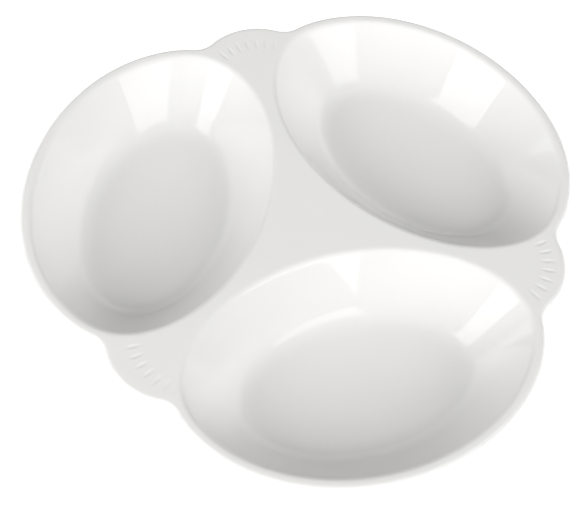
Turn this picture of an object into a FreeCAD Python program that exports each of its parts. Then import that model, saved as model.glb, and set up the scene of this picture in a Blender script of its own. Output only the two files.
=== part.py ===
import FreeCAD, Part
import Sketcher
import math
import os

# A three-well porcelain serving dish.
#
# Frame: the origin is on the dish's three-fold axis, in the plane that it stands on. +Z is up.
# The three wells stand at 120 degrees about Z, and the three fluted lugs stand between them.
# A well is drawn about its own centre, with X pointing away from the dish's axis.
# A lug, and the web, are drawn about the dish's axis, with X along the lug.

PARTS_FOLDER = "parts"
SHEET = "dimensions"

# name, value in millimetres (or degrees, or a count)
DRIVING_DIMENSIONS = [
    ("dish_height", 35.0),
    ("plate_thickness", 4.5),
    ("rim_round", 2.2),
    ("well_distance", 75.7),
    ("well_half_length", 79.3),
    ("well_half_width", 55.0),
    ("floor_half_length", 52.0),
    ("floor_half_width", 33.0),
    ("floor_level", 7.5),
    ("floor_round", 16.0),
    ("crest_round", 4.0),
    ("wall_run", 5.4),
    ("underside_round", 18.0),
    ("seam_land", 2.4),
    ("rim_land", 4.4),
    ("rim_band_start", 6.0),
    ("lug_reach", 119.0),
    ("lug_round", 30.8),
    ("lug_cove", 12.2),
    ("neck_distance", 60.6),
    ("foot_level", 3.0),
    ("foot_half_length", 43.0),
    ("foot_half_width", 24.0),
    ("foot_width", 4.5),
    ("foot_round", 1.2),
    ("flute_fan_distance", 82.0),
    ("flute_distance", 27.5),
    ("flute_half_length", 4.2),
    ("flute_half_width", 1.1),
    ("flute_depth", 0.45),
    ("flute_step", 10.5),
    ("flute_count", 7),
]

# the direction of each well and each lug about Z, in degrees
WELL_DIRECTIONS = {"front": -90.0, "right": 30.0, "left": 150.0}
LUG_DIRECTIONS = {"back": 90.0, "left": 210.0, "right": 330.0}
HALF_PITCH = 60.0

# the half width and the length of the slabs that clear a rim's joined side or a lug's inner side
CLEARING_LENGTH = 200.0

# lengths closer than this are the same, and a cut that takes away less than this volume takes nothing
SAME_PLACE = 0.01
SAME_EDGE_LENGTH = 1.0
SMALLEST_CUT = 1.0

# the most of a well's solid wall that may be left once it has been hollowed
LEAST_HOLLOW_SHARE = 0.8

# the sizes that the sketches are first drawn at, before their constraints are bound to the sheet
DRAFT_DISTANCE = 70.0
DRAFT_HALF_LENGTH = 40.0
DRAFT_HALF_WIDTH = 30.0
DRAFT_NEAR = 5.0
DRAFT_REACH = 120.0


def make_sheet(document):
    """Put the driving dimensions in a spreadsheet, one alias to each."""
    sheet = document.addObject("Spreadsheet::Sheet", SHEET)
    for row, (alias, value) in enumerate(DRIVING_DIMENSIONS, start=1):
        sheet.set(f"A{row}", alias)
        sheet.set(f"B{row}", str(value))
        sheet.setAlias(f"B{row}", alias)
    document.recompute()
    return sheet


def sized(expression):
    """Write an expression on the sheet's aliases, each of which is marked with a dollar sign."""
    return expression.replace("$", f"{SHEET}.")


def wall_half(axis, level):
    """The half length or half width of the inner wall's line at a level, as an expression."""
    rise = f"({level} - $floor_level) / ($dish_height - $floor_level)"
    return f"($floor_half_{axis} + ($well_half_{axis} - $floor_half_{axis}) * {rise})"


def make_body(document, label, angle, distance=0.0):
    """Make a body that is turned about Z, and stands at a distance from the dish's axis."""
    body = document.addObject("PartDesign::Body", label)
    body.Label = label
    turn = FreeCAD.Rotation(FreeCAD.Vector(0, 0, 1), angle)
    body.Placement = FreeCAD.Placement(turn.multVec(FreeCAD.Vector(distance, 0, 0)), turn)
    return body


def make_sketch(body, name, level, angle=0.0, along="0"):
    """Make a level sketch in a body, at a height, turned about Z and moved along its X."""
    sketch = body.newObject("Sketcher::SketchObject", name)
    base_plane = [feature for feature in body.Origin.OriginFeatures if feature.Role == "XY_Plane"][0]
    sketch.AttachmentSupport = [(base_plane, "")]
    sketch.MapMode = "FlatFace"
    sketch.AttachmentOffset = FreeCAD.Placement(
        FreeCAD.Vector(0, 0, 0), FreeCAD.Rotation(FreeCAD.Vector(0, 0, 1), angle)
    )
    sketch.setExpression("AttachmentOffset.Base.z", sized(level))
    sketch.setExpression("AttachmentOffset.Base.x", sized(along))
    return sketch


def bind(sketch, constraint, expression):
    """Add a constraint to a sketch and bind its value to the sheet."""
    sketch.setExpression(f"Constraints[{sketch.addConstraint(constraint)}]", sized(expression))


def draw_ellipse(sketch, half_length, half_width, distance=None):
    """Draw an ellipse whose long axis runs along Y, centred on X at a distance from the origin."""
    start = 0.0 if distance is None else DRAFT_DISTANCE
    centre = FreeCAD.Vector(start, 0, 0)
    long_end = FreeCAD.Vector(start, DRAFT_HALF_LENGTH, 0)
    short_end = FreeCAD.Vector(start + DRAFT_HALF_WIDTH, 0, 0)
    curve = sketch.addGeometry(Part.Ellipse(long_end, short_end, centre), False)
    sketch.exposeInternalGeometry(curve)
    long_axis, short_axis = curve + 1, curve + 2
    sketch.addConstraint(Sketcher.Constraint("Vertical", long_axis))
    if distance is None:
        sketch.addConstraint(Sketcher.Constraint("Coincident", curve, 3, -1, 1))
    else:
        sketch.addConstraint(Sketcher.Constraint("PointOnObject", curve, 3, -1))
        bind(sketch, Sketcher.Constraint("DistanceX", -1, 1, curve, 3, start), distance)
    bind(sketch, Sketcher.Constraint("Distance", long_axis, 2 * DRAFT_HALF_LENGTH), f"2 * {half_length}")
    bind(sketch, Sketcher.Constraint("Distance", short_axis, 2 * DRAFT_HALF_WIDTH), f"2 * {half_width}")


def draw_circle(sketch, radius, distance):
    """Draw a circle centred on X at a distance from the origin."""
    centre = FreeCAD.Vector(DRAFT_DISTANCE, 0, 0)
    circle = Part.Circle(centre, FreeCAD.Vector(0, 0, 1), DRAFT_HALF_WIDTH)
    curve = sketch.addGeometry(circle, False)
    sketch.addConstraint(Sketcher.Constraint("PointOnObject", curve, 3, -1))
    bind(sketch, Sketcher.Constraint("DistanceX", -1, 1, curve, 3, DRAFT_DISTANCE), distance)
    bind(sketch, Sketcher.Constraint("Radius", curve, DRAFT_HALF_WIDTH), radius)


def draw_slab(sketch, near, away):
    """Draw a wide rectangle with its near side at an X, reaching towards +X (away 1) or -X (away -1)."""
    end = DRAFT_NEAR + away * CLEARING_LENGTH
    corners = [
        FreeCAD.Vector(DRAFT_NEAR, -CLEARING_LENGTH, 0),
        FreeCAD.Vector(end, -CLEARING_LENGTH, 0),
        FreeCAD.Vector(end, CLEARING_LENGTH, 0),
        FreeCAD.Vector(DRAFT_NEAR, CLEARING_LENGTH, 0),
    ]
    for side in range(4):
        sketch.addGeometry(Part.LineSegment(corners[side], corners[(side + 1) % 4]), False)
    for side in range(4):
        sketch.addConstraint(Sketcher.Constraint("Coincident", side, 2, (side + 1) % 4, 1))
    for side, direction in enumerate(("Horizontal", "Vertical", "Horizontal")):
        sketch.addConstraint(Sketcher.Constraint(direction, side))
    sketch.addConstraint(Sketcher.Constraint("Symmetric", 3, 1, 3, 2, -1))
    sketch.addConstraint(Sketcher.Constraint("Distance", 3, 2 * CLEARING_LENGTH))
    sketch.addConstraint(Sketcher.Constraint("Distance", 0, CLEARING_LENGTH))
    bind(sketch, Sketcher.Constraint("DistanceX", -1, 1, 3, 1, DRAFT_NEAR), near)


def draw_triangle(sketch, half_height):
    """Draw an equal-sided triangle about the origin, with one side square to X at a distance."""
    corners = []
    for turn in range(3):
        angle = math.radians(HALF_PITCH + 2 * HALF_PITCH * turn)
        corners.append(FreeCAD.Vector(DRAFT_REACH * math.cos(angle), DRAFT_REACH * math.sin(angle), 0))
    for side in range(3):
        sketch.addGeometry(Part.LineSegment(corners[side], corners[(side + 1) % 3]), False)
    for side in range(3):
        sketch.addConstraint(Sketcher.Constraint("Coincident", side, 2, (side + 1) % 3, 1))
    sketch.addConstraint(Sketcher.Constraint("Equal", 0, 1))
    sketch.addConstraint(Sketcher.Constraint("Equal", 1, 2))
    sketch.addConstraint(Sketcher.Constraint("Symmetric", 2, 1, 2, 2, -1))
    bind(sketch, Sketcher.Constraint("DistanceX", -1, 1, 2, 2, DRAFT_REACH / 2), half_height)
    bind(sketch, Sketcher.Constraint("DistanceX", 0, 2, -1, 1, DRAFT_REACH), f"2 * {half_height}")


def pad(body, name, sketch, length):
    """Raise a sketch by a length."""
    feature = body.newObject("PartDesign::Pad", name)
    feature.Profile = sketch
    feature.setExpression("Length", sized(length))
    return feature


def pocket(body, name, sketch, depth):
    """Cut a sketch down by a depth, and check that it took something away."""
    before = body.Shape.Volume
    feature = body.newObject("PartDesign::Pocket", name)
    feature.Profile = sketch
    feature.setExpression("Length", sized(depth))
    body.Document.recompute()
    if body.Shape.Volume > before - SMALLEST_CUT:
        raise RuntimeError(f"{body.Label}: the pocket {name} cuts nothing")
    return feature


def edges_where(shape, test):
    """The names of a shape's edges that pass a test on their bounding box and the edge."""
    return [f"Edge{index}" for index, edge in enumerate(shape.Edges, start=1) if test(edge.BoundBox, edge)]


def fillet(body, name, base, test, radius):
    """Round the edges of a feature that pass a test."""
    body.Document.recompute()
    names = edges_where(base.Shape, test)
    if not names:
        raise RuntimeError(f"{body.Label}: no edge to round for {name}")
    feature = body.newObject("PartDesign::Fillet", name)
    feature.Base = (base, names)
    feature.setExpression("Radius", sized(radius))
    body.Document.recompute()
    return feature


def lies_at(box, level):
    """Whether a bounding box is flat and lies at a level."""
    return abs(box.ZMin - level) < SAME_PLACE and abs(box.ZMax - level) < SAME_PLACE


def make_well(document, sheet, name, direction):
    """One oval well: its wall and floor, and the rim along its free side."""
    body = make_body(document, f"{name}_well", direction, sheet.well_distance)
    underside = "$dish_height - $plate_thickness"

    # the rim: a flat ring with a full round outside, kept on the free side only
    rim_plan = make_sketch(body, "RimPlan", underside)
    draw_ellipse(rim_plan, "($well_half_length + $rim_land)", "($well_half_width + $rim_land)")
    rim = pad(body, "Rim", rim_plan, "$plate_thickness")
    fillet(body, "RimRound", rim, lambda box, edge: box.ZLength < SAME_PLACE, "$rim_round")
    joined_side = make_sketch(body, "JoinedSide", "$dish_height")
    draw_slab(joined_side, "$rim_band_start", -1)
    pocket(body, "RimTrim", joined_side, "$plate_thickness")

    # the seam with the web and the lugs
    seam_plan = make_sketch(body, "SeamPlan", underside)
    draw_ellipse(seam_plan, "($well_half_length + $seam_land)", "($well_half_width + $seam_land)")
    pad(body, "Seam", seam_plan, "$plate_thickness")

    # the outside of the wall, down to the foot ring
    wall_foot = make_sketch(body, "WallFoot", "$foot_level")
    draw_ellipse(
        wall_foot,
        f"({wall_half('length', '$foot_level')} + $wall_run)",
        f"({wall_half('width', '$foot_level')} + $wall_run)",
    )
    wall_top = make_sketch(body, "WallTop", underside)
    draw_ellipse(
        wall_top,
        f"({wall_half('length', '(' + underside + ')')} + $wall_run)",
        f"({wall_half('width', '(' + underside + ')')} + $wall_run)",
    )
    wall = body.newObject("PartDesign::AdditiveLoft", "Wall")
    wall.Profile = wall_foot
    wall.Sections = [wall_top]
    wall.Ruled = True
    underside_round = fillet(
        body, "UndersideRound", wall, lambda box, edge: lies_at(box, sheet.foot_level), "$underside_round"
    )

    # the hollow
    floor_plan = make_sketch(body, "FloorPlan", "$floor_level")
    draw_ellipse(floor_plan, "$floor_half_length", "$floor_half_width")
    mouth_plan = make_sketch(body, "MouthPlan", "$dish_height")
    draw_ellipse(mouth_plan, "$well_half_length", "$well_half_width")
    before = underside_round.Shape.Volume
    hollow = body.newObject("PartDesign::SubtractiveLoft", "Hollow")
    hollow.Profile = floor_plan
    hollow.Sections = [mouth_plan]
    hollow.Ruled = True
    document.recompute()
    if hollow.Shape.Volume > LEAST_HOLLOW_SHARE * before:
        raise RuntimeError(f"{body.Label}: the hollow cuts too little")
    floor_round = fillet(
        body, "FloorRound", hollow, lambda box, edge: lies_at(box, sheet.floor_level), "$floor_round"
    )
    mouth_diagonal = 2 * math.hypot(sheet.well_half_length, sheet.well_half_width)

    def is_crest(box, edge):
        """Whether an edge is the mouth of the hollow."""
        same_size = abs(edge.BoundBox.DiagonalLength - mouth_diagonal) < SAME_EDGE_LENGTH
        return lies_at(box, sheet.dish_height) and same_size

    crest_round = fillet(body, "CrestRound", floor_round, is_crest, "$crest_round")
    body.Tip = crest_round
    return body


def make_foot_ring(document, sheet, name, direction):
    """The unglazed oval ring that one well stands on."""
    body = make_body(document, f"{name}_foot_ring", direction, sheet.well_distance)
    ring_plan = make_sketch(body, "RingPlan", "0")
    draw_ellipse(ring_plan, "$foot_half_length", "$foot_half_width")
    pad(body, "Ring", ring_plan, "$foot_level")
    document.recompute()
    recess_plan = make_sketch(body, "RecessPlan", "$foot_level")
    draw_ellipse(recess_plan, "($foot_half_length - $foot_width)", "($foot_half_width - $foot_width)")
    recess = pocket(body, "Recess", recess_plan, "$foot_level")
    body.Tip = fillet(body, "FootRound", recess, lambda box, edge: lies_at(box, 0.0), "$foot_round")
    return body


def make_web(document, sheet):
    """The flat web between the three wells."""
    body = make_body(document, "centre_web", LUG_DIRECTIONS["back"])
    web_plan = make_sketch(body, "WebPlan", "$dish_height - $plate_thickness")
    draw_triangle(web_plan, "$neck_distance")
    pad(body, "Web", web_plan, "$plate_thickness")
    document.recompute()
    seam_plan = make_sketch(body, "SeamPlan", "$dish_height", HALF_PITCH)
    draw_ellipse(
        seam_plan,
        "($well_half_length + $seam_land)",
        "($well_half_width + $seam_land)",
        "$well_distance",
    )
    seam = pocket(body, "Seam", seam_plan, "$plate_thickness")
    seams = body.newObject("PartDesign::PolarPattern", "Seams")
    seams.Originals = [seam]
    seams.Axis = (web_plan, ["N_Axis"])
    seams.Angle = 360
    seams.Occurrences = 3
    body.Tip = seams
    return body


def make_lug(document, sheet, name, direction):
    """One fluted lug: its coved outline, its full round edge and its fan of flutes."""
    body = make_body(document, f"{name}_lug", direction)
    underside = "$dish_height - $plate_thickness"

    # the outline: a round end between the rims of the two wells
    end_plan = make_sketch(body, "EndPlan", underside)
    draw_circle(end_plan, "$lug_round", "$lug_reach - $lug_round")
    outline = pad(body, "End", end_plan, "$plate_thickness")
    for side, angle in (("Left", HALF_PITCH), ("Right", -HALF_PITCH)):
        rim_plan = make_sketch(body, f"{side}RimPlan", underside, angle)
        draw_ellipse(
            rim_plan,
            "($well_half_length + $rim_land)",
            "($well_half_width + $rim_land)",
            "$well_distance",
        )
        outline = pad(body, f"{side}Rim", rim_plan, "$plate_thickness")

    def is_notch(box, edge):
        """Whether an edge is an upright one, where the round end meets a rim."""
        upright = box.ZLength > sheet.plate_thickness - SAME_PLACE and box.XLength < SAME_PLACE
        return upright and box.XMin > sheet.lug_reach - 2 * sheet.lug_round + sheet.lug_cove

    coved = fillet(body, "Cove", outline, is_notch, "$lug_cove")

    def is_outer(box, edge):
        """Whether an edge is level and lies on the lug's side of the wells."""
        return box.ZLength < SAME_PLACE and box.XMax > sheet.neck_distance

    fillet(body, "EdgeRound", coved, is_outer, "$rim_round")

    # what belongs to the wells and to the web is cleared
    for side, angle in (("Left", HALF_PITCH), ("Right", -HALF_PITCH)):
        seam_plan = make_sketch(body, f"{side}SeamPlan", "$dish_height", angle)
        draw_ellipse(
            seam_plan,
            "($well_half_length + $seam_land)",
            "($well_half_width + $seam_land)",
            "$well_distance",
        )
        pocket(body, f"{side}Seam", seam_plan, "$plate_thickness")
        band_plan = make_sketch(body, f"{side}BandPlan", "$dish_height", angle)
        draw_slab(band_plan, "($well_distance + $rim_band_start)", 1)
        pocket(body, f"{side}Band", band_plan, "$plate_thickness")
    neck_plan = make_sketch(body, "NeckPlan", "$dish_height")
    draw_slab(neck_plan, "$neck_distance", -1)
    pocket(body, "Neck", neck_plan, "$plate_thickness")

    # the flutes, spread like a fan
    fan = make_sketch(body, "FluteFan", "$dish_height", 0.0, "$flute_fan_distance")
    before = body.Shape.Volume
    flute = body.newObject("PartDesign::SubtractiveEllipsoid", "Flute")
    flute.setExpression("Radius1", sized("$flute_depth"))
    flute.setExpression("Radius2", sized("$flute_half_length"))
    flute.setExpression("Radius3", sized("$flute_half_width"))
    first_angle = -0.5 * sheet.flute_step * (sheet.flute_count - 1)
    turn = FreeCAD.Rotation(FreeCAD.Vector(0, 0, 1), first_angle)
    centre = FreeCAD.Vector(sheet.flute_fan_distance, 0, sheet.dish_height)
    centre += turn.multVec(FreeCAD.Vector(sheet.flute_distance, 0, 0))
    flute.Placement = FreeCAD.Placement(centre, turn)
    document.recompute()
    flutes = body.newObject("PartDesign::PolarPattern", "Flutes")
    flutes.Originals = [flute]
    flutes.Axis = (fan, ["N_Axis"])
    flutes.setExpression("Angle", sized("$flute_step * ($flute_count - 1)"))
    flutes.setExpression("Occurrences", sized("$flute_count"))
    body.Tip = flutes
    document.recompute()
    if body.Shape.Volume > before - SMALLEST_CUT:
        raise RuntimeError(f"{body.Label}: the flutes cut nothing")
    return body


def check(document, bodies):
    """Stop if any object failed, or any body isn't one valid solid."""
    for feature in document.Objects:
        if {"Invalid", "Error"} & set(feature.State):
            raise RuntimeError(f"{feature.Label} failed: {feature.State}")
    for body in bodies:
        shape = body.Shape
        if shape.isNull() or not shape.isValid() or len(shape.Solids) != 1:
            raise RuntimeError(f"{body.Label} isn't one valid solid")


def export(bodies):
    """Write each body's shape to its own STEP file."""
    os.makedirs(PARTS_FOLDER, exist_ok=True)
    for body in bodies:
        body.Shape.exportStep(os.path.join(PARTS_FOLDER, f"{body.Label}.step"))
        print(f"{body.Label}: {body.Shape.Volume / 1000:.1f} cm3")


def main():
    """Build the dish, check it and write it."""
    document = FreeCAD.newDocument("serving_dish")
    sheet = make_sheet(document)
    bodies = [make_well(document, sheet, name, angle) for name, angle in WELL_DIRECTIONS.items()]
    bodies.append(make_web(document, sheet))
    bodies += [make_lug(document, sheet, name, angle) for name, angle in LUG_DIRECTIONS.items()]
    bodies += [make_foot_ring(document, sheet, name, angle) for name, angle in WELL_DIRECTIONS.items()]
    document.recompute()
    check(document, bodies)
    export(bodies)


main()
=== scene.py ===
"""The looks of a white porcelain serving dish with three oval wells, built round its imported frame.

Frame: metres, with the origin on the dish's three-fold axis in the plane that it stands on, and +Z up.
A well is drawn about the dish's axis, with its own axis at a direction about Z. Its places round the rim
are given by an angle: 0 on the free side, furthest from the axis, and 180 degrees on the joined side.
"""

import logging
import math
from collections.abc import Callable
from dataclasses import dataclass, field
from enum import Enum

import bpy
import numpy as np
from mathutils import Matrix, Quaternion, Vector
from mathutils.geometry import delaunay_2d_cdt

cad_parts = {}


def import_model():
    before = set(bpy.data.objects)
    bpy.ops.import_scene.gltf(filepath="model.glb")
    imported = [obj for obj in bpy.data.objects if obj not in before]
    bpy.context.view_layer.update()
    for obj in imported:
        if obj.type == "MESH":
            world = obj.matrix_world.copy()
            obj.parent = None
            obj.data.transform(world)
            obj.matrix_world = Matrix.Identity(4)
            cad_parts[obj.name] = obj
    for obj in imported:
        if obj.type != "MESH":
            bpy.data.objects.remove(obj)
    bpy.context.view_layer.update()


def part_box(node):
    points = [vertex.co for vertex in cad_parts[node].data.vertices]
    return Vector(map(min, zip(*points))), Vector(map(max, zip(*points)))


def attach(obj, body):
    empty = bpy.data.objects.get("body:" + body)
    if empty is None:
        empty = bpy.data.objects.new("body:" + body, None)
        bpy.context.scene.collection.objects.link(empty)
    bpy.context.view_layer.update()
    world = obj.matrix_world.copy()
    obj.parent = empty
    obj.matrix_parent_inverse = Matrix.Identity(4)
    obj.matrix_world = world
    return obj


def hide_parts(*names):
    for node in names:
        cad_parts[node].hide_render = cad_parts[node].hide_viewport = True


MM = 0.001
ROOT = "root"
SMALL_STEP = 1e-4
HALVINGS = 60
NO_LENGTH = 1e-15

# how short a surface's cross product is at a pole, where its columns meet
POLE_SIZE = 0.1

# how far the inner control points of a soft corner stand towards the corner
CORNER_FULLNESS = 0.5

# the last of the five stretches that a well's section is made of, counted from nought
LAST_STRETCH = 4

# how delaunay_2d_cdt is asked to fill an outline: with triangles inside it, points closer than this joined
FILL_INSIDE = 2
SAME_POINT = 1e-9

# where a lattice's first row and first column stand, as shares of their spacing
FIRST_ROW = 0.37
FIRST_COLUMN = 0.25

# where the search for the places round a rim starts, and how far past the band a cove may touch, in radians
BAND_SEARCH = 0.3
TOUCH_SEARCH = 0.2
UP = np.array([0.0, 0.0, 1.0])
WHITE = (1.0, 1.0, 1.0, 1.0)

# the range that a noise pattern's values mostly keep to
NOISE_LOW = 0.3
NOISE_HIGH = 0.7

Colour = tuple[float, float, float]
PORCELAIN_WHITE: Colour = (0.80, 0.793, 0.782)

log = logging.getLogger("dish")


class Side(Enum):
    """Where a well or a lug stands, seen from the front of the dish."""

    FRONT = "front"
    RIGHT = "right"
    LEFT = "left"
    BACK = "back"


class Slot(Enum):
    """The record's material slots."""

    GLAZE = "glaze"
    BISCUIT = "biscuit"


WELL_SIDES = (Side.FRONT, Side.RIGHT, Side.LEFT)
LUG_OPPOSITE = {Side.BACK: Side.FRONT, Side.LEFT: Side.RIGHT, Side.RIGHT: Side.LEFT}

# the wells on the clockwise and the anticlockwise side of each lug
LUG_NEIGHBOURS = {
    Side.BACK: (Side.RIGHT, Side.LEFT),
    Side.LEFT: (Side.LEFT, Side.FRONT),
    Side.RIGHT: (Side.FRONT, Side.RIGHT),
}


def direction_of(angle: float) -> np.ndarray:
    """The level unit vector at an angle about Z, in radians."""
    return np.array([math.cos(angle), math.sin(angle)])


def left_of(vectors: np.ndarray) -> np.ndarray:
    """Level vectors turned a quarter turn anticlockwise."""
    return np.stack([-vectors[..., 1], vectors[..., 0]], axis=-1)


def unit(vectors: np.ndarray) -> np.ndarray:
    """Vectors at unit length. A vector of no length stays as it is."""
    length = np.linalg.norm(vectors, axis=-1, keepdims=True)
    return vectors / np.where(length < NO_LENGTH, 1.0, length)


def raised(plan: np.ndarray, level: float | np.ndarray) -> np.ndarray:
    """Plan points set at a level.

    Args:
        plan: points in plan, with two numbers each.
        level: one height for all of them, or one each.

    Returns:
        The points in space, with three numbers each.
    """
    heights = np.broadcast_to(np.asarray(level, float), plan.shape[:-1])
    return np.concatenate([plan, heights[..., None]], axis=-1)


def crossing(value: Callable[[float], float], low: float, high: float) -> float:
    """Where a function changes sign between two places.

    Args:
        value: the function, which has unlike signs at the two places.
        low: one place.
        high: the other place.

    Returns:
        The place between them where the function is nought.
    """
    rising = value(high) > value(low)
    for _ in range(HALVINGS):
        middle = 0.5 * (low + high)
        if (value(middle) > 0) == rising:
            high = middle
        else:
            low = middle
    return 0.5 * (low + high)


def blend(start: np.ndarray, corner: np.ndarray, end: np.ndarray, along: float) -> np.ndarray:
    """A soft corner between two straight lines, with no jump in curvature where it meets them.

    Args:
        start: the points where the first line ends.
        corner: the points where the two lines would meet.
        end: the points where the second line begins.
        along: how far along the corner, from 0 to 1.

    Returns:
        The points of the soft corner.
    """
    before = start + (corner - start) * CORNER_FULLNESS
    after = end + (corner - end) * CORNER_FULLNESS
    controls = (start, before, corner, after, end)
    degree = len(controls) - 1
    weights = [math.comb(degree, i) * along**i * (1 - along) ** (degree - i) for i in range(len(controls))]
    return sum(weight * control for weight, control in zip(weights, controls))


@dataclass(frozen=True)
class Measures:
    """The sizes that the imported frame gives, in metres."""

    height: float
    underside: float
    foot_level: float
    well_distance: float
    lug_reach: float
    neck_distance: float
    foot_half_length: float
    foot_half_width: float

    @classmethod
    def from_frame(cls) -> "Measures":
        """Read the sizes off the boxes of the front well, the web, the back lug and a foot ring.

        Returns:
            The sizes.
        """
        well_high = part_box("front_well")[1]
        web_low, web_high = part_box("centre_web")
        ring_low, ring_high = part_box("front_foot_ring")
        return cls(
            height=well_high.z,
            underside=web_low.z,
            foot_level=ring_high.z,
            well_distance=-0.5 * (ring_low.y + ring_high.y),
            lug_reach=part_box("back_lug")[1].y,
            neck_distance=web_high.y,
            foot_half_length=ring_high.x,
            foot_half_width=0.5 * (ring_high.y - ring_low.y),
        )

    @property
    def thickness(self) -> float:
        """The thickness of the plate that the rims, the web and the lugs are parts of."""
        return self.height - self.underside

    @property
    def edge_round(self) -> float:
        """The radius of the plate's full round edge."""
        return 0.5 * self.thickness


class Skin:
    """The points, faces and corner normals of one closed piece, gathered patch by patch."""

    def __init__(self) -> None:
        """Start with no patches."""
        self.points: list[np.ndarray] = []
        self.normals: list[np.ndarray] = []
        self.faces: list[list[int]] = []
        self.count = 0

    def add(self, points: np.ndarray, normals: np.ndarray, faces: list[list[int]]) -> None:
        """Add a patch.

        Args:
            points: its points, one row each.
            normals: the outward normal at each point.
            faces: the faces, each a list of its points' indexes, in either sense.
        """
        for face in faces:
            a, b, c = (points[i] for i in face[:3])
            turned = np.dot(np.cross(b - a, c - a), normals[face].sum(axis=0)) < 0
            self.faces.append([self.count + i for i in (face[::-1] if turned else face)])
        self.points.append(points)
        self.normals.append(normals)
        self.count += len(points)

    def add_grid(self, points: np.ndarray, normals: np.ndarray, closed: bool = False) -> None:
        """Add a patch of rows and columns.

        Args:
            points: its points, as an array of rows, columns and three numbers.
            normals: the outward normals, in the same form.
            closed: whether the last column joins the first one.
        """
        rows, columns = points.shape[:2]
        faces = []
        for row in range(rows - 1):
            for column in range(columns if closed else columns - 1):
                following = (column + 1) % columns
                near, far = row * columns, (row + 1) * columns
                faces.append([near + column, near + following, far + following, far + column])
        self.add(points.reshape(-1, 3), normals.reshape(-1, 3), faces)

    def add_flat(self, points: np.ndarray, normal: np.ndarray) -> None:
        """Add one flat face with the same normal all over."""
        self.add(points, np.tile(normal, (len(points), 1)), [list(range(len(points)))])

    def make(self, name: str) -> bpy.types.Object:
        """Join the patches where their points meet, and make the object.

        Args:
            name: the piece's name.

        Returns:
            The new object, in the scene and with its own corner normals.
        """
        points = np.concatenate(self.points).astype(np.float32) + np.float32(0.0)
        normals = unit(np.concatenate(self.normals))
        shared, place = np.unique(points, axis=0, return_inverse=True)
        place = place.ravel()
        faces, corners = [], []
        for face in self.faces:
            kept = [i for k, i in enumerate(face) if place[i] != place[face[k - 1]]]
            if len(kept) > 2:
                faces.append([int(place[i]) for i in kept])
                corners.extend(kept)
        mesh = bpy.data.meshes.new(name)
        mesh.from_pydata(shared.tolist(), [], faces)
        mesh.shade_smooth()
        mesh.normals_split_custom_set(normals[corners].tolist())
        piece = bpy.data.objects.new(name, mesh)
        bpy.context.scene.collection.objects.link(piece)
        return piece


def surface_normals(
    surface: Callable[[float, np.ndarray], np.ndarray],
    rows: np.ndarray,
    columns: np.ndarray,
    outward: np.ndarray,
) -> tuple[np.ndarray, np.ndarray]:
    """The points of a surface and its true normals.

    Args:
        surface: gives the points at one row's place and every column's place.
        rows: the rows' places.
        columns: the columns' places.
        outward: a direction on the surface's outer side at its first row's first point.

    Returns:
        The points and the normals, each as an array of rows, columns and three numbers.
    """
    points = np.stack([surface(row, columns) for row in rows])
    low, high = rows[0], rows[-1]
    down, around = [], []
    for row in rows:
        before, after = max(row - SMALL_STEP, low), min(row + SMALL_STEP, high)
        down.append(surface(after, columns) - surface(before, columns))
        around.append(surface(row, columns + SMALL_STEP) - surface(row, columns - SMALL_STEP))
    normals = np.cross(unit(np.stack(around)), unit(np.stack(down)))
    pole = np.linalg.norm(normals, axis=-1) < POLE_SIZE
    normals = unit(normals)
    if np.dot(normals[0, 0], outward) < 0:
        normals = -normals
    normals[pole] = outward
    return points, normals


@dataclass(frozen=True)
class RimLine:
    """The line in plan where a well's flat crest ends, as three harmonics round the well, in metres."""

    direction: float
    half_length: float = 87.69 * MM
    length_second: float = -5.21 * MM
    length_third: float = 6.55 * MM
    distance: float = 79.19 * MM
    half_width: float = 51.45 * MM
    width_second: float = -3.71 * MM
    width_third: float = 5.81 * MM

    def own(self, angles: np.ndarray) -> np.ndarray:
        """The line's points, with X along the well's axis.

        Args:
            angles: the places round the rim, in radians.

        Returns:
            One point for each place.
        """
        along = (
            self.distance
            + self.half_width * np.cos(angles)
            + self.width_second * np.cos(2 * angles)
            + self.width_third * np.cos(3 * angles)
        )
        across = (
            self.half_length * np.sin(angles)
            + self.length_second * np.sin(2 * angles)
            + self.length_third * np.sin(3 * angles)
        )
        return np.stack([along, across], axis=-1)

    def own_outward(self, angles: np.ndarray) -> np.ndarray:
        """The line's outward normals, with X along the well's axis."""
        return -left_of(unit(self.own(angles + SMALL_STEP) - self.own(angles - SMALL_STEP)))

    def turned(self, own: np.ndarray) -> np.ndarray:
        """Points or vectors given with X along the well's axis, turned into the dish's frame."""
        axis = direction_of(self.direction)
        return own[..., :1] * axis + own[..., 1:] * left_of(axis)

    def points(self, angles: np.ndarray, grown: float = 0.0) -> np.ndarray:
        """The line's points in the dish's frame.

        Args:
            angles: the places round the rim, in radians.
            grown: how far outside the line.

        Returns:
            One point in plan for each place.
        """
        return self.turned(self.own(angles) + grown * self.own_outward(angles))

    def outward(self, angles: np.ndarray) -> np.ndarray:
        """The line's outward normals in the dish's frame."""
        return self.turned(self.own_outward(angles))

    def oval(
        self, angles: np.ndarray, distance: float, half_length: float, half_width: float
    ) -> np.ndarray:
        """Points of an oval on the well's axis, in the dish's frame.

        Args:
            angles: the places round it, in radians.
            distance: its centre's distance from the dish's axis.
            half_length: its half length, across the well's axis.
            half_width: its half width, along the well's axis.

        Returns:
            One point in plan for each place.
        """
        own = np.stack([distance + half_width * np.cos(angles), half_length * np.sin(angles)], axis=-1)
        return self.turned(own)


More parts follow.
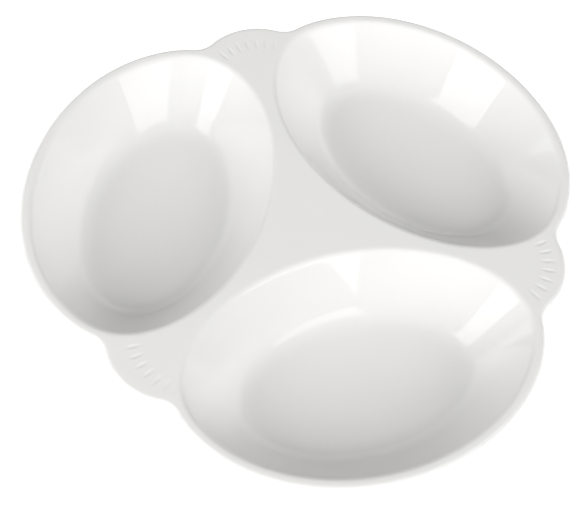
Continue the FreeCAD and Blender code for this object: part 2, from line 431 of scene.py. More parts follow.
@dataclass(frozen=True)
class LugOutline:
    """The outline of a lug: its round end, and the coves where it meets the wells' rims, in metres."""

    measures: Measures
    end_round: float = 31.2 * MM
    cove_round: float = 11.2 * MM

    @property
    def end_distance(self) -> float:
        """The distance from the dish's axis to the centre of the round end."""
        return self.measures.lug_reach - self.end_round

    def cove_centre(self, rim: RimLine, angle: float, lean: float) -> np.ndarray:
        """The centre of a cove that touches a rim at a place, with X along the lug's axis.

        Args:
            rim: any well's rim line, whose own shape is used.
            angle: the place round the rim, in radians.
            lean: the angle from the lug's axis to the well's axis, in radians.

        Returns:
            The centre in plan.
        """
        place = np.array([angle])
        grown = self.measures.edge_round + self.cove_round
        own = (rim.own(place) + grown * rim.own_outward(place))[0]
        axis = direction_of(lean)
        return own[0] * axis + own[1] * left_of(axis)

    def touching(self, rim: RimLine, low: float, high: float, lean: float) -> float:
        """Find where the cove touches a rim and the round end at once.

        Args:
            rim: any well's rim line, whose own shape is used.
            low: a place round the rim on one side of the one wanted, in radians.
            high: a place on its other side.
            lean: the angle from the lug's axis to the well's axis, in radians.

        Returns:
            The place round the rim.
        """
        end = np.array([self.end_distance, 0.0])
        wanted = self.end_round + self.cove_round
        return crossing(
            lambda angle: np.linalg.norm(self.cove_centre(rim, angle, lean) - end) - wanted, low, high
        )


@dataclass
class Joints:
    """Where the rim's pieces are cut, as places round a well in radians, and how finely each is divided."""

    rim: RimLine
    outline: LugOutline
    band_start: float = 6.0 * MM
    free_steps: int = 120
    lug_steps: int = 34
    web_steps: int = 90
    band: float = field(init=False)
    neck: float = field(init=False)
    touch: float = field(init=False)

    def __post_init__(self) -> None:
        """Find the places."""
        measures = self.outline.measures
        start = measures.well_distance + self.band_start
        lug_axis = direction_of(math.pi / 3)
        self.band = crossing(
            lambda angle: self.rim.own(np.array([angle]))[0, 0] - start, BAND_SEARCH, math.pi / 2
        )
        self.neck = crossing(
            lambda angle: self.rim.own(np.array([angle]))[0] @ lug_axis - measures.neck_distance,
            self.band,
            math.pi,
        )
        self.touch = self.outline.touching(
            self.rim, self.band, self.band + TOUCH_SEARCH, -math.pi / 3
        )

    @property
    def free(self) -> np.ndarray:
        """The places along the free side, from one band to the other."""
        return np.linspace(-self.band, self.band, self.free_steps + 1)

    @property
    def beside_lug(self) -> np.ndarray:
        """The places along the seam with a lug, from the band to the neck."""
        return np.linspace(self.band, self.neck, self.lug_steps + 1)

    @property
    def beside_web(self) -> np.ndarray:
        """The places along the seam with the web, from one neck to the other."""
        return np.linspace(self.neck, 2 * math.pi - self.neck, self.web_steps + 1)

    @property
    def joined(self) -> np.ndarray:
        """The places along the whole seam, from one band to the other."""
        far = 2 * math.pi - self.beside_lug[::-1]
        return np.concatenate([self.beside_lug[:-1], self.beside_web[:-1], far])

    @property
    def all_round(self) -> np.ndarray:
        """The places round the whole rim, each once."""
        return np.concatenate([self.free[:-1], self.joined[:-1]])


def round_edge(skin: Skin, line: np.ndarray, outward: np.ndarray, measures: Measures, steps: int) -> None:
    """Add the plate's full round edge along a line.

    Args:
        skin: the piece's skin.
        line: the line in plan where the flat top ends.
        outward: the line's outward normals.
        measures: the dish's sizes.
        steps: how many faces the edge has from top to bottom.
    """
    radius = measures.edge_round
    middle = measures.height - radius
    turns = np.linspace(math.pi / 2, -math.pi / 2, steps + 1)
    points, normals = [], []
    for turn in turns:
        out, rise = radius * math.cos(turn), radius * math.sin(turn)
        points.append(raised(line + out * outward, middle + rise))
        normals.append(raised(math.cos(turn) * outward, math.sin(turn)))
    points[0] = raised(line, measures.height)
    points[-1] = raised(line, measures.underside)
    skin.add_grid(np.stack(points), np.stack(normals))


def edge_end(
    skin: Skin, place: np.ndarray, outward: np.ndarray, away: np.ndarray, measures: Measures, steps: int
) -> None:
    """Close the end of a round edge with its half disc.

    Args:
        skin: the piece's skin.
        place: the plan point where the flat top ends.
        outward: the outward normal there.
        away: the level direction that the half disc faces.
        measures: the dish's sizes.
        steps: how many faces the edge has from top to bottom.
    """
    radius = measures.edge_round
    middle = measures.height - radius
    turns = np.linspace(math.pi / 2, -math.pi / 2, steps + 1)
    points = np.stack(
        [
            raised(place + radius * math.cos(turn) * outward, middle + radius * math.sin(turn))
            for turn in turns
        ]
    )
    points[0] = raised(place, measures.height)
    points[-1] = raised(place, measures.underside)
    skin.add_flat(points, raised(away, 0.0))


def upright(skin: Skin, line: np.ndarray, outward: np.ndarray, measures: Measures) -> None:
    """Add the upright face of a seam along a line, from the top to the underside.

    Args:
        skin: the piece's skin.
        line: the line in plan.
        outward: the line's outward normals.
        measures: the dish's sizes.
    """
    points = np.stack([raised(line, measures.height), raised(line, measures.underside)])
    normals = np.stack([raised(outward, 0.0)] * 2)
    skin.add_grid(points, normals)


@dataclass
class Well:
    """One oval well: its crest, wall and floor, inside and outside. Sizes in metres."""

    side: Side
    direction: float
    measures: Measures
    rim: RimLine
    joints: Joints
    crest_land: float = 0.4 * MM
    crest_reach: float = 2.4 * MM
    floor_distance: float = 75.0 * MM
    floor_half_length: float = 53.0 * MM
    floor_half_width: float = 33.0 * MM
    floor_level: float = 7.5 * MM
    floor_reach: float = 9.0 * MM
    floor_sag: float = 0.9 * MM
    wall_run: float = 5.0 * MM
    cove_reach: float = 1.7 * MM
    underside_reach: float = 10.0 * MM
    land_steps: int = 1
    crest_steps: int = 10
    wall_steps: int = 8
    floor_blend_steps: int = 16
    floor_steps: int = 10
    edge_steps: int = 14

    def wall_top(self, angles: np.ndarray) -> np.ndarray:
        """The plan points where the wall's line would reach the top."""
        return self.rim.points(angles, -self.crest_land - self.crest_reach)

    def wall_foot(self, angles: np.ndarray, grown: float = 0.0) -> np.ndarray:
        """The plan points where the wall's line would reach the floor, or an oval grown from them.

        Args:
            angles: the places round the rim, in radians.
            grown: how far outside the floor's own oval.

        Returns:
            One point in plan for each place.
        """
        half_length, half_width = self.floor_half_length + grown, self.floor_half_width + grown
        return self.rim.oval(angles, self.floor_distance, half_length, half_width)

    def centre(self, angles: np.ndarray) -> np.ndarray:
        """The floor's centre in plan, once for each place."""
        return np.tile(direction_of(self.direction) * self.floor_distance, (len(angles), 1))

    def inside(self, row: float, angles: np.ndarray) -> np.ndarray:
        """The points of the inside at one row, from the rim line (0) to the floor's centre (5).

        Args:
            row: the row's place, a whole number where the land, crest, wall, floor blend or floor starts.
            angles: the places round the rim, in radians.

        Returns:
            One point for each place.
        """
        part = min(int(row), LAST_STRETCH)
        along = row - part
        height = self.measures.height
        line = raised(self.rim.points(angles), height)
        crest = raised(self.rim.points(angles, -self.crest_land), height)
        top = raised(self.wall_top(angles), height)
        foot = raised(self.wall_foot(angles), self.floor_level)
        down = unit(foot - top)
        wall_start = top + self.crest_reach * down
        wall_end = foot - self.floor_reach * down
        centre_plan = self.centre(angles)
        inward = centre_plan - foot[:, :2]
        span = np.linalg.norm(inward, axis=-1, keepdims=True)
        level_run = span - self.floor_reach
        slope = self.floor_sag / (self.floor_reach + 0.5 * level_run)
        floor_start = foot + self.floor_reach * np.concatenate([inward / span, -slope], axis=-1)
        if part == 0:
            return line + (crest - line) * along
        if part == 1:
            return blend(crest, top, wall_start, along)
        if part == 2:
            return wall_start + (wall_end - wall_start) * along
        if part == 3:
            return blend(wall_end, foot, floor_start, along)
        plan = floor_start[:, :2] + (centre_plan - floor_start[:, :2]) * along
        drop = slope * level_run * (along - 0.5 * along**2)
        return np.concatenate([plan, floor_start[:, 2:] - drop], axis=-1)

    def outside(self, row: float, angles: np.ndarray) -> np.ndarray:
        """The points of the outside at one row, from the rim line (0) to the centre underneath (5).

        Args:
            row: the row's place, a whole number where the land, cove, wall, round or flat starts.
            angles: the places round the rim, in radians.

        Returns:
            One point for each place.
        """
        part = min(int(row), LAST_STRETCH)
        along = row - part
        measures = self.measures
        line = raised(self.rim.points(angles), measures.underside)
        shift = self.wall_run - self.crest_land - self.crest_reach
        top = raised(self.rim.points(angles, shift), measures.height)
        foot = raised(self.wall_foot(angles, self.wall_run), self.floor_level)
        fall = (top - foot) / (measures.height - self.floor_level)
        corner = top + fall * (measures.underside - measures.height)
        base = top + fall * (measures.foot_level - measures.height)
        down = unit(base - corner)
        land_end = corner + self.cove_reach * raised(self.rim.outward(angles), 0.0)
        wall_start = corner + self.cove_reach * down
        wall_end = base - self.underside_reach * down
        centre = raised(self.centre(angles), measures.foot_level)
        flat_start = base + self.underside_reach * unit(centre - base)
        if part == 0:
            return line + (land_end - line) * along
        if part == 1:
            return blend(land_end, corner, wall_start, along)
        if part == 2:
            return wall_start + (wall_end - wall_start) * along
        if part == 3:
            return blend(wall_end, base, flat_start, along)
        return flat_start + (centre - flat_start) * along

    def row_places(self) -> np.ndarray:
        """The places of the rows from the rim line to the centre, on either side.

        Returns:
            The places, closer together where the section curves.
        """
        counts = (
            self.land_steps,
            self.crest_steps,
            self.wall_steps,
            self.floor_blend_steps,
            self.floor_steps,
        )
        places = [start + np.arange(count) / count for start, count in enumerate(counts)]
        return np.concatenate([*places, [float(len(counts))]])

    def build(self) -> bpy.types.Object:
        """Make the well's mesh.

        Returns:
            The well.
        """
        skin = Skin()
        rows, places = self.row_places(), self.joints.all_round
        for surface, outward in ((self.inside, UP), (self.outside, -UP)):
            points, normals = surface_normals(surface, rows, places, outward)
            skin.add_grid(points, normals, closed=True)
        free, joined = self.joints.free, self.joints.joined
        round_edge(skin, self.rim.points(free), self.rim.outward(free), self.measures, self.edge_steps)
        line = self.rim.points(joined)
        line[0], line[-1] = self.rim.points(free[-1:])[0], self.rim.points(free[:1])[0]
        upright(skin, line, self.rim.outward(joined), self.measures)
        for place, sense in ((free[:1], -1.0), (free[-1:], 1.0)):
            outward = self.rim.outward(place)[0]
            away = sense * left_of(outward)
            edge_end(skin, self.rim.points(place)[0], outward, away, self.measures, self.edge_steps)
        return skin.make(f"{self.side.value}_well_body")

    def dress(self, piece: bpy.types.Object, glaze: bpy.types.Material) -> None:
        """Glaze the well and set it on the frame."""
        settle(piece, f"{self.side.value}_well", glaze)


def settle(piece: bpy.types.Object, node: str, finish: bpy.types.Material) -> None:
    """Give a piece its finish, and let it stand for its node of the frame.

    Args:
        piece: the new piece.
        node: the node that it replaces.
        finish: the material.
    """
    piece.data.materials.append(finish)
    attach(piece, ROOT)
    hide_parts(node)
    log.info("%s: %d faces, stands for %s", piece.name, len(piece.data.polygons), node)


def plate_face(
    skin: Skin,
    outline: np.ndarray,
    spacing: float,
    level: Callable[[np.ndarray], np.ndarray],
    normals: Callable[[np.ndarray], np.ndarray],
    fine: tuple[np.ndarray, float, float] | None = None,
) -> None:
    """Fill an outline in plan with small triangles, and set them at their levels.

    Args:
        skin: the piece's skin.
        outline: the outline's points in plan, each once, anticlockwise.
        spacing: the distance between the points inside it.
        level: gives the heights of plan points.
        normals: gives the outward normals at plan points.
        fine: a middle, a radius and a smaller spacing, for a place that needs closer points.
    """
    inner = lattice(outline, spacing)
    if fine is not None:
        middle, radius, close = fine
        inner = inner[np.linalg.norm(inner - middle, axis=1) > radius]
        dense = lattice(outline, close)
        inner = np.concatenate([inner, dense[np.linalg.norm(dense - middle, axis=1) <= radius]])
    places = np.concatenate([outline, inner])
    edges = [(i, (i + 1) % len(outline)) for i in range(len(outline))]
    corners = [Vector(place) for place in places.tolist()]
    plan, _, faces, *_ = delaunay_2d_cdt(corners, edges, [], FILL_INSIDE, SAME_POINT)
    found = np.array([[p.x, p.y] for p in plan])
    found[: len(places)] = places
    points = raised(found, level(found))
    skin.add(points, normals(found), [list(face) for face in faces])


def lattice(outline: np.ndarray, spacing: float) -> np.ndarray:
    """Points on a triangular lattice inside an outline, clear of it by half their spacing.

    Args:
        outline: the outline's points in plan.
        spacing: the distance between neighbours.

    Returns:
        The points in plan.
    """
    low, high = outline.min(axis=0), outline.max(axis=0)
    row_gap = spacing * math.sqrt(3) / 2
    rows = np.arange(low[1] + FIRST_ROW * row_gap, high[1], row_gap)
    found = []
    for index, y in enumerate(rows):
        start = low[0] + (FIRST_COLUMN + 0.5 * (index % 2)) * spacing
        across = np.arange(start, high[0], spacing)
        found.append(np.stack([across, np.full(len(across), y)], axis=1))
    places = np.concatenate(found)
    inside = np.zeros(len(places), bool)
    nearest = np.full(len(places), np.inf)
    for start, end in zip(outline, np.roll(outline, -1, axis=0)):
        step = end - start
        rise = step[1] if abs(step[1]) > NO_LENGTH else NO_LENGTH
        spans = (start[1] > places[:, 1]) != (end[1] > places[:, 1])
        reach = start[0] + (places[:, 1] - start[1]) / rise * step[0]
        inside ^= spans & (places[:, 0] < reach)
        share = np.clip(((places - start) @ step) / (step @ step), 0, 1)
        nearest = np.minimum(nearest, np.linalg.norm(places - start - share[:, None] * step, axis=1))
    return places[inside & (nearest > 0.5 * spacing)]


@dataclass
class Web:
    """The flat web between the three wells."""

    measures: Measures
    wells: list[Well]
    spacing: float = 4.0 * MM

    def outline(self) -> np.ndarray:
        """The web's outline in plan: three seams, joined by three necks.

        Returns:
            The outline's points, anticlockwise.
        """
        stretches = []
        for well in sorted(self.wells, key=lambda one: one.direction):
            places = well.joints.beside_web
            stretches.append(well.rim.points(places)[::-1])
        return np.concatenate(stretches)

    def build(self) -> bpy.types.Object:
        """Make the web's mesh.

        Returns:
            The web.
        """
        skin = Skin()
        outline = self.outline()
        for level, outward in ((self.measures.height, UP), (self.measures.underside, -UP)):
            plate_face(
                skin,
                outline,
                self.spacing,
                lambda plan, level=level: np.full(len(plan), level),
                lambda plan, outward=outward: np.tile(outward, (len(plan), 1)),
            )
        closed = np.concatenate([outline, outline[:1]])
        for start, end in zip(closed[:-1], closed[1:]):
            side = -left_of(unit(end - start))
            upright(skin, np.stack([start, end]), np.stack([side, side]), self.measures)
        return skin.make("centre_web_plate")

    def dress(self, piece: bpy.types.Object, glaze: bpy.types.Material) -> None:
        """Glaze the web and set it on the frame."""
        settle(piece, "centre_web", glaze)


@dataclass(frozen=True)
class Fan:
    """The fan of short flutes pressed into a lug, in metres and radians."""

    distance: float
    offset: float
    reach: float
    first: float
    step: float
    count: int = 7
    half_length: float = 4.2 * MM
    half_width: float = 1.3 * MM
    depth: float = 0.24 * MM

    def fall(self, own: np.ndarray) -> np.ndarray:
        """How far the flutes go below the lug's top.

        Args:
            own: points in plan, with X along the lug.

        Returns:
            One depth for each point.
        """
        total = np.zeros(len(own))
        for index in range(self.count):
            angle = self.first + self.step * index
            axis = direction_of(angle)
            from_middle = own - np.array([self.distance, self.offset]) - self.reach * axis
            along = (from_middle @ axis) / self.half_length
            across = (from_middle @ left_of(axis)) / self.half_width
            inside = np.clip(1.0 - along**2 - across**2, 0.0, None)
            total += self.depth * inside**2
        return total


# the flutes were pressed in by hand, so the three fans differ a little
FANS = {
    Side.BACK: Fan(78.6 * MM, -0.4 * MM, 29.0 * MM, math.radians(-26.0), math.radians(9.0)),
    Side.LEFT: Fan(77.8 * MM, 4.9 * MM, 29.5 * MM, math.radians(-31.0), math.radians(9.7)),
    Side.RIGHT: Fan(87.2 * MM, -0.4 * MM, 23.5 * MM, math.radians(-34.0), math.radians(12.3)),
}


@dataclass
class Lug:
    """One lug between two wells: a shell shape with a full round edge and a fan of flutes."""

    side: Side
    direction: float
    measures: Measures
    outline_shape: LugOutline
    clockwise_well: Well
    anticlockwise_well: Well
    fan: Fan
    spacing: float = 3.0 * MM
    fine_spacing: float = 0.4 * MM
    fine_radius: float = 22.0 * MM
    slope_step: float = 0.02 * MM
    rim_steps: int = 3
    cove_steps: int = 10
    end_steps: int = 48
    edge_steps: int = 14

    def to_row(self, own: np.ndarray) -> np.ndarray:
        """Points given with X along the lug, turned into the dish's frame."""
        axis = direction_of(self.direction)
        return own[..., :1] * axis + own[..., 1:] * left_of(axis)

    def to_own(self, plan: np.ndarray) -> np.ndarray:
        """Points in the dish's frame, with X along the lug."""
        axis = direction_of(self.direction)
        return np.stack([plan @ axis, plan @ left_of(axis)], axis=-1)

    def edge_line(self) -> tuple[np.ndarray, np.ndarray]:
        """The line where the flat top ends on the lug's outer side.

        Returns:
            The line's points in plan, anticlockwise, and its outward normals.
        """
        joints, shape = self.clockwise_well.joints, self.outline_shape
        radius = self.measures.edge_round
        on_rim = np.linspace(joints.band, joints.touch, self.rim_steps + 1)
        first_rim, second_rim = self.clockwise_well.rim, self.anticlockwise_well.rim
        points = [first_rim.points(on_rim)]
        normals = [first_rim.outward(on_rim)]
        cove = shape.cove_centre(first_rim, joints.touch, -math.pi / 3)
        end = np.array([shape.end_distance, 0.0])
        rim_normal = self.to_own(first_rim.outward(np.array([joints.touch])))[0]
        start = math.atan2(-rim_normal[1], -rim_normal[0])
        to_end = end - cove
        stop = math.atan2(to_end[1], to_end[0])
        sweep = (stop - start + math.pi) % (2 * math.pi) - math.pi
        turns = start + sweep * np.linspace(0, 1, self.cove_steps + 1)[1:]
        rays = np.stack([np.cos(turns), np.sin(turns)], axis=-1)
        cove_points = cove + (shape.cove_round + radius) * rays
        first_turn = math.atan2(-to_end[1], -to_end[0])
        end_turns = np.linspace(first_turn, -first_turn, self.end_steps + 1)[1:-1]
        end_rays = np.stack([np.cos(end_turns), np.sin(end_turns)], axis=-1)
        end_points = end + (shape.end_round - radius) * end_rays
        mirror = np.array([1.0, -1.0])
        own_points = np.concatenate([cove_points, end_points, cove_points[::-1] * mirror])
        own_normals = np.concatenate([-rays, end_rays, -rays[::-1] * mirror])
        points += [self.to_row(own_points), second_rim.points(-on_rim[::-1])]
        normals += [self.to_row(own_normals), second_rim.outward(-on_rim[::-1])]
        return np.concatenate(points), np.concatenate(normals)

    def build(self) -> bpy.types.Object:
        """Make the lug's mesh.

        Returns:
            The lug.
        """
        skin = Skin()
        joints = self.clockwise_well.joints
        line, outward = self.edge_line()
        first = self.clockwise_well.rim.points(joints.beside_lug)
        second = self.anticlockwise_well.rim.points(-joints.beside_lug)
        first[0], second[0] = line[0], line[-1]
        outline = np.concatenate([line, second[1:], first[:0:-1]])
        centre = self.to_row(np.array([self.fan.distance + self.fan.reach, self.fan.offset]))
        plate_face(
            skin, outline, self.spacing, self.top_level, self.top_normals,
            (centre, self.fine_radius, self.fine_spacing),
        )
        plate_face(
            skin,
            outline,
            self.spacing,
            lambda plan: np.full(len(plan), self.measures.underside),
            lambda plan: np.tile(-UP, (len(plan), 1)),
        )
        round_edge(skin, line, outward, self.measures, self.edge_steps)
        for place, normal, sense in ((line[0], outward[0], -1.0), (line[-1], outward[-1], 1.0)):
            edge_end(skin, place, normal, sense * left_of(normal), self.measures, self.edge_steps)
        upright(skin, first, -self.clockwise_well.rim.outward(joints.beside_lug), self.measures)
        upright(skin, second, -self.anticlockwise_well.rim.outward(-joints.beside_lug), self.measures)
        neck = np.stack([first[-1], second[-1]])
        upright(skin, neck, np.tile(-direction_of(self.direction), (2, 1)), self.measures)
        return skin.make(f"{self.side.value}_lug_shell")

    def top_level(self, plan: np.ndarray) -> np.ndarray:
        """The heights of the lug's top."""
        return self.measures.height - self.fan.fall(self.to_own(plan))

    def top_normals(self, plan: np.ndarray) -> np.ndarray:
        """The normals of the lug's top.

        Args:
            plan: points in plan.

        Returns:
            One normal for each point.
        """
        slopes = [
            (self.top_level(plan + offset) - self.top_level(plan - offset)) / (2 * self.slope_step)
            for offset in self.slope_step * np.eye(2)
        ]
        return unit(np.stack([-slopes[0], -slopes[1], np.ones(len(plan))], axis=-1))

    def dress(self, piece: bpy.types.Object, glaze: bpy.types.Material) -> None:
        """Glaze the lug and set it on the frame."""
        settle(piece, f"{self.side.value}_lug", glaze)


@dataclass
class FootRing:
    """The oval ring that a well stands on, ground flat and left unglazed underneath. Sizes in metres."""

    side: Side
    well: Well
    measures: Measures
    width: float = 4.5 * MM
    taper: float = 0.5 * MM
    edge_round: float = 1.2 * MM
    steps: int = 144
    round_steps: int = 6

    def profile(self) -> list[tuple[float, float, float, float]]:
        """The ring's section, from its outer top edge round to its inner one.

        Returns:
            For each point its distance out from the middle line, its height, and its normal's two parts.
        """
        half, level = 0.5 * self.width, self.measures.foot_level
        section = []
        for sense in (1.0, -1.0):
            points = [(sense * half, level, sense, 0.0)]
            for step in range(self.round_steps + 1):
                turn = 0.5 * math.pi * step / self.round_steps
                out = half - self.taper - self.edge_round * (1 - math.cos(turn))
                height = self.edge_round * (1 - math.sin(turn))
                points.append((sense * out, height, sense * math.cos(turn), -math.sin(turn)))
            section += points if sense > 0 else points[::-1]
        return section

    def build(self) -> bpy.types.Object:
        """Make the ring's mesh.

        Returns:
            The ring.
        """
        skin = Skin()
        places = np.linspace(0, 2 * math.pi, self.steps, endpoint=False)
        half_length = self.measures.foot_half_length - 0.5 * self.width
        half_width = self.measures.foot_half_width - 0.5 * self.width
        rim = self.well.rim

        def middle(angles: np.ndarray) -> np.ndarray:
            """The ring's middle line in plan."""
            return rim.oval(angles, self.measures.well_distance, half_length, half_width)

        line = middle(places)
        outward = -left_of(unit(middle(places + SMALL_STEP) - middle(places - SMALL_STEP)))
        rows, normals = [], []
        for out, height, normal_out, normal_up in self.profile():
            rows.append(raised(line + out * outward, height))
            normals.append(raised(normal_out * outward, normal_up))
        skin.add_grid(np.stack(rows), np.stack(normals), closed=True)
        top = np.stack([rows[-1], rows[0]])
        skin.add_grid(top, np.broadcast_to(UP, top.shape), closed=True)
        return skin.make(f"{self.side.value}_foot_ring_band")

    def dress(self, piece: bpy.types.Object, finish: bpy.types.Material) -> None:
        """Finish the ring and set it on the frame."""
        settle(piece, f"{self.side.value}_foot_ring", finish)


@dataclass(frozen=True)
class Grain:
    """A noise pattern fixed to the piece: its scale, in cycles per metre, its detail and its range."""

    scale: float
    detail: float
    low: float
    high: float

    def add(self, sheet: "NodeSheet") -> bpy.types.NodeSocket:
        """Add the pattern to a material.

        Args:
            sheet: the material's node sheet.

        Returns:
            The socket that carries the pattern's value.
        """
        noise = sheet.add("ShaderNodeTexNoise")
        noise.inputs["Scale"].default_value = self.scale
        noise.inputs["Detail"].default_value = self.detail
        sheet.join(sheet.place, noise.inputs["Vector"])
        spread = sheet.add("ShaderNodeMapRange")
        spread.inputs["From Min"].default_value = NOISE_LOW
        spread.inputs["From Max"].default_value = NOISE_HIGH
        spread.inputs["To Min"].default_value = self.low
        spread.inputs["To Max"].default_value = self.high
        sheet.join(noise.outputs["Fac"], spread.inputs["Value"])
        return spread.outputs["Result"]


class NodeSheet:
    """A new material's node tree, with its shader and the piece's own coordinates."""

    def __init__(self, name: str) -> None:
        """Start a material.

        Args:
            name: the material's name.
        """
        self.material = bpy.data.materials.new(name)
        self.material.use_nodes = True
        self.tree = self.material.node_tree
        self.shader = self.tree.nodes["Principled BSDF"]
        self.coordinates = self.add("ShaderNodeTexCoord")
        self.place = self.coordinates.outputs["Object"]

    def add(self, kind: str) -> bpy.types.Node:
        """Add a node of a kind."""
        return self.tree.nodes.new(kind)

    def join(self, source: bpy.types.NodeSocket, target: bpy.types.NodeSocket) -> None:
        """Link an output to an input."""
        self.tree.links.new(source, target)

    def bump(self, grain: Grain, distance: float, under: bpy.types.Node | None = None) -> bpy.types.Node:
        """Raise the surface by a pattern.

        Args:
            grain: the pattern.
            distance: the height of its full range, in metres.
            under: another bump, which this one lies on.

        Returns:
            The bump node.
        """
        node = self.add("ShaderNodeBump")
        node.inputs["Strength"].default_value = 1.0
        node.inputs["Distance"].default_value = distance
        self.join(grain.add(self), node.inputs["Height"])
        if under is not None:
            self.join(under.outputs["Normal"], node.inputs["Normal"])
        return node

    def colour(self, first: Colour, second: Colour, grain: Grain) -> bpy.types.Node:
        """Mix two colours by a pattern.

        Args:
            first: the colour where the pattern is nought.
            second: the colour where the pattern is one.
            grain: the pattern.

        Returns:
            The mixing node.
        """
        mix = self.add("ShaderNodeMix")
        mix.data_type = "RGBA"
        mix.inputs["A"].default_value = (*first, 1.0)
        mix.inputs["B"].default_value = (*second, 1.0)
        self.join(grain.add(self), mix.inputs["Factor"])
        return mix


@dataclass(frozen=True)
class Glaze:
    """Clear gloss glaze over white porcelain. Its waves are in metres."""

    body: Colour = PORCELAIN_WHITE
    pooled: Colour = (0.79, 0.786, 0.779)
    pooling: Grain = Grain(28.0, 2.0, 0.0, 1.0)
    gloss: Grain = Grain(60.0, 3.0, 0.012, 0.03)
    slow_waves: Grain = Grain(22.0, 1.0, 0.0, 1.0)
    slow_height: float = 0.03 * MM
    quick_waves: Grain = Grain(160.0, 2.0, 0.0, 1.0)
    quick_height: float = 0.001 * MM
    index: float = 1.5

    def make(self) -> bpy.types.Material:
        """Make the material.

        Returns:
            The material.
        """
        sheet = NodeSheet("white_glaze")
        shader = sheet.shader
        shader.inputs["IOR"].default_value = self.index
        colour = sheet.colour(self.body, self.pooled, self.pooling)
        sheet.join(colour.outputs["Result"], shader.inputs["Base Color"])
        sheet.join(self.gloss.add(sheet), shader.inputs["Roughness"])
        slow = sheet.bump(self.slow_waves, self.slow_height)
        quick = sheet.bump(self.quick_waves, self.quick_height, slow)
        sheet.join(quick.outputs["Normal"], shader.inputs["Normal"])
        return sheet.material


@dataclass(frozen=True)
class Biscuit:
    """Bare fired porcelain, matt and finely grained, under a foot ring whose upper part is glazed."""

    body: Colour = (0.72, 0.69, 0.64)
    worn: Colour = (0.62, 0.59, 0.54)
    glazed: Colour = PORCELAIN_WHITE
    staining: Grain = Grain(90.0, 4.0, 0.0, 1.0)
    roughness: Grain = Grain(400.0, 3.0, 0.62, 0.85)
    pores: Grain = Grain(2200.0, 3.0, 0.0, 1.0)
    pore_depth: float = 0.03 * MM
    glaze_edge: float = 1.3 * MM
    edge_width: float = 0.35 * MM
    glaze_roughness: float = 0.06

    def make(self) -> bpy.types.Material:
        """Make the material.

        Returns:
            The material.
        """
        sheet = NodeSheet("biscuit_foot")
        shader = sheet.shader
        bare = sheet.colour(self.body, self.worn, self.staining)
        split = sheet.add("ShaderNodeSeparateXYZ")
        sheet.join(sheet.place, split.inputs["Vector"])
        edge = sheet.add("ShaderNodeMapRange")
        edge.interpolation_type = "SMOOTHSTEP"
        edge.inputs["From Min"].default_value = self.glaze_edge - self.edge_width
        edge.inputs["From Max"].default_value = self.glaze_edge + self.edge_width
        sheet.join(split.outputs["Z"], edge.inputs["Value"])
        tint = sheet.add("ShaderNodeMix")
        tint.data_type = "RGBA"
        tint.inputs["B"].default_value = (*self.glazed, 1.0)
        sheet.join(edge.outputs["Result"], tint.inputs["Factor"])
        sheet.join(bare.outputs["Result"], tint.inputs["A"])
        sheet.join(tint.outputs["Result"], shader.inputs["Base Color"])
        gloss = sheet.add("ShaderNodeMix")
        gloss.inputs["B"].default_value = self.glaze_roughness
        sheet.join(edge.outputs["Result"], gloss.inputs["Factor"])
        sheet.join(self.roughness.add(sheet), gloss.inputs["A"])
        sheet.join(gloss.outputs["Result"], shader.inputs["Roughness"])
        grain = sheet.bump(self.pores, self.pore_depth)
        sheet.join(grain.outputs["Normal"], shader.inputs["Normal"])
        return sheet.material


@dataclass(frozen=True)
class PaleFloor:
    """The studio's pale paper floor, faintly lit from below so that it shows white."""

    body: Colour = (0.90, 0.90, 0.90)
    mottled: Colour = (0.88, 0.88, 0.88)
    mottling: Grain = Grain(3.0, 2.0, 0.0, 1.0)
    roughness: float = 0.9
    glow: float = 0.35

    def make(self) -> bpy.types.Material:
        """Make the material.

        Returns:
            The material.
        """
        sheet = NodeSheet("pale_floor")
        shader = sheet.shader
        colour = sheet.colour(self.body, self.mottled, self.mottling)
        sheet.join(colour.outputs["Result"], shader.inputs["Base Color"])
        shader.inputs["Roughness"].default_value = self.roughness
        shader.inputs["Emission Color"].default_value = WHITE
        shader.inputs["Emission Strength"].default_value = self.glow
        return sheet.material


def towards(azimuth: float, elevation: float) -> Vector:
    """The unit vector at an azimuth from the front and an elevation above level, in degrees."""
    across, up = math.radians(azimuth), math.radians(elevation)
    return Vector((math.sin(across) * math.cos(up), -math.cos(across) * math.cos(up), math.sin(up)))


@dataclass(frozen=True)
class Fill:
    """A broad, far light that fills the shade and leaves no highlight. Angles in degrees, strength in W/m2.

    Its azimuth is nought in front of the dish and grows towards the dish's right.
    """

    name: str
    azimuth: float
    elevation: float
    spread: float
    strength: float

    def hang(self) -> None:
        """Hang the light."""
        data = bpy.data.lights.new(self.name, "SUN")
        data.angle = math.radians(self.spread)
        data.energy = self.strength
        light = bpy.data.objects.new(self.name, data)
        bpy.context.scene.collection.objects.link(light)
        light.visible_glossy = False
        light.rotation_mode = "QUATERNION"
        light.rotation_quaternion = towards(self.azimuth, self.elevation).to_track_quat("Z", "Y")


@dataclass(frozen=True)
class Softbox:
    """A soft rectangular light that faces the dish. Sizes in metres, angles in degrees, strength in watts.

    Its azimuth is nought in front of the dish and grows towards the dish's right.
    """

    name: str
    azimuth: float
    elevation: float
    width: float
    height: float
    strength: float
    distance: float = 2.0

    def hang(self) -> None:
        """Hang the light."""
        data = bpy.data.lights.new(self.name, "AREA")
        data.shape = "RECTANGLE"
        data.size = self.width
        data.size_y = self.height
        data.energy = self.strength
        light = bpy.data.objects.new(self.name, data)
        bpy.context.scene.collection.objects.link(light)
        away = towards(self.azimuth, self.elevation)
        light.location = away * self.distance
        light.rotation_mode = "QUATERNION"
        light.rotation_quaternion = away.to_track_quat("Z", "Y")


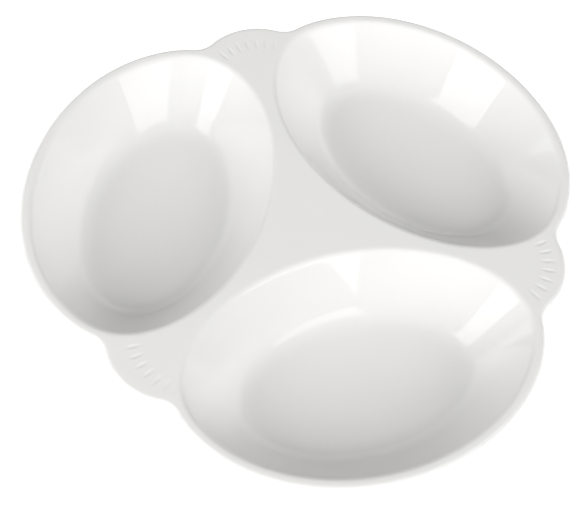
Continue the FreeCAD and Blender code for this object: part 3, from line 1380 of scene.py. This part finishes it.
SOFTBOXES = (
    Softbox("left_softbox", -80.5, 32.0, 0.42, 0.42, 1.35, 1.0),
    Softbox("front_window", 21.0, 26.0, 1.35, 0.76, 6.0),
    Softbox("right_panel", 95.0, 12.0, 1.07, 0.80, 1.9),
    Softbox("back_left_panel", -131.0, 17.0, 0.55, 0.50, 1.0),
)

FILLS = (
    Fill("left_fill", -78.0, 12.0, 60.0, 3.0),
    Fill("right_front_fill", 36.0, 36.0, 60.0, 1.65),
    Fill("front_top_fill", 0.0, 78.0, 70.0, 0.8),
    Fill("back_right_fill", 118.0, 32.0, 55.0, 0.45),
)


@dataclass
class Studio:
    """The floor, the light and the camera. Sizes in metres, angles in degrees."""

    measures: Measures
    floor_size: float = 20.0
    azimuth: float = -20.61
    elevation: float = 58.13
    roll: float = 4.53
    distance: float = 664.8 * MM
    sensor_width: float = 36.0
    lens: float = 89.73
    aim: tuple[float, float] = (-13.89 * MM, -18.26 * MM)

    def lay_floor(self) -> None:
        """Lay the pale floor."""
        half = 0.5 * self.floor_size
        mesh = bpy.data.meshes.new("studio_floor")
        corners = [(-half, -half, 0), (half, -half, 0), (half, half, 0), (-half, half, 0)]
        mesh.from_pydata(corners, [], [(0, 1, 2, 3)])
        floor = bpy.data.objects.new("studio_floor", mesh)
        bpy.context.scene.collection.objects.link(floor)
        floor.data.materials.append(PaleFloor().make())

    def hang_lights(self) -> None:
        """Hang the soft lights, and close the room with a white wall that casts no light of its own."""
        for light in (*SOFTBOXES, *FILLS):
            light.hang()
        world = bpy.data.worlds.new("studio")
        bpy.context.scene.world = world
        world.use_nodes = True
        world.node_tree.nodes["Background"].inputs["Color"].default_value = WHITE
        world.cycles_visibility.diffuse = False
        world.cycles_visibility.glossy = False

    def set_camera(self) -> None:
        """Set up the camera."""
        back = towards(self.azimuth, self.elevation)
        data = bpy.data.cameras.new("camera")
        data.sensor_width = self.sensor_width
        data.lens = self.lens
        camera = bpy.data.objects.new("camera", data)
        bpy.context.scene.collection.objects.link(camera)
        camera.location = Vector((*self.aim, self.measures.height)) + back * self.distance
        camera.rotation_mode = "QUATERNION"
        level = (-back).to_track_quat("-Z", "Y")
        camera.rotation_quaternion = level @ Quaternion((0, 0, 1), math.radians(self.roll))
        bpy.context.scene.camera = camera
        bpy.context.scene.view_settings.view_transform = "Standard"

    def set_up(self) -> None:
        """Set up the floor, the lights and the camera."""
        self.lay_floor()
        self.hang_lights()
        self.set_camera()


def well_direction(side: Side) -> float:
    """The direction of a well about Z, from its foot ring's box in the frame, in radians."""
    low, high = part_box(f"{side.value}_foot_ring")
    return math.atan2(low.y + high.y, low.x + high.x)


def main() -> None:
    """Build the dish round its frame, dress it and set up the studio."""
    logging.basicConfig(level=logging.INFO, format="%(name)s: %(message)s")
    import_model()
    measures = Measures.from_frame()
    glaze, biscuit = Glaze().make(), Biscuit().make()

    wells = {}
    for side in WELL_SIDES:
        rim = RimLine(well_direction(side))
        wells[side] = Well(side, rim.direction, measures, rim, Joints(rim, LugOutline(measures)))
        wells[side].dress(wells[side].build(), glaze)

    web = Web(measures, list(wells.values()))
    web.dress(web.build(), glaze)

    for side, opposite in LUG_OPPOSITE.items():
        first, second = (wells[name] for name in LUG_NEIGHBOURS[side])
        direction = wells[opposite].direction + math.pi
        lug = Lug(side, direction, measures, LugOutline(measures), first, second, FANS[side])
        lug.dress(lug.build(), glaze)

    for side in WELL_SIDES:
        ring = FootRing(side, wells[side], measures)
        ring.dress(ring.build(), biscuit)

    Studio(measures).set_up()


if __name__ == "__main__":
    main()
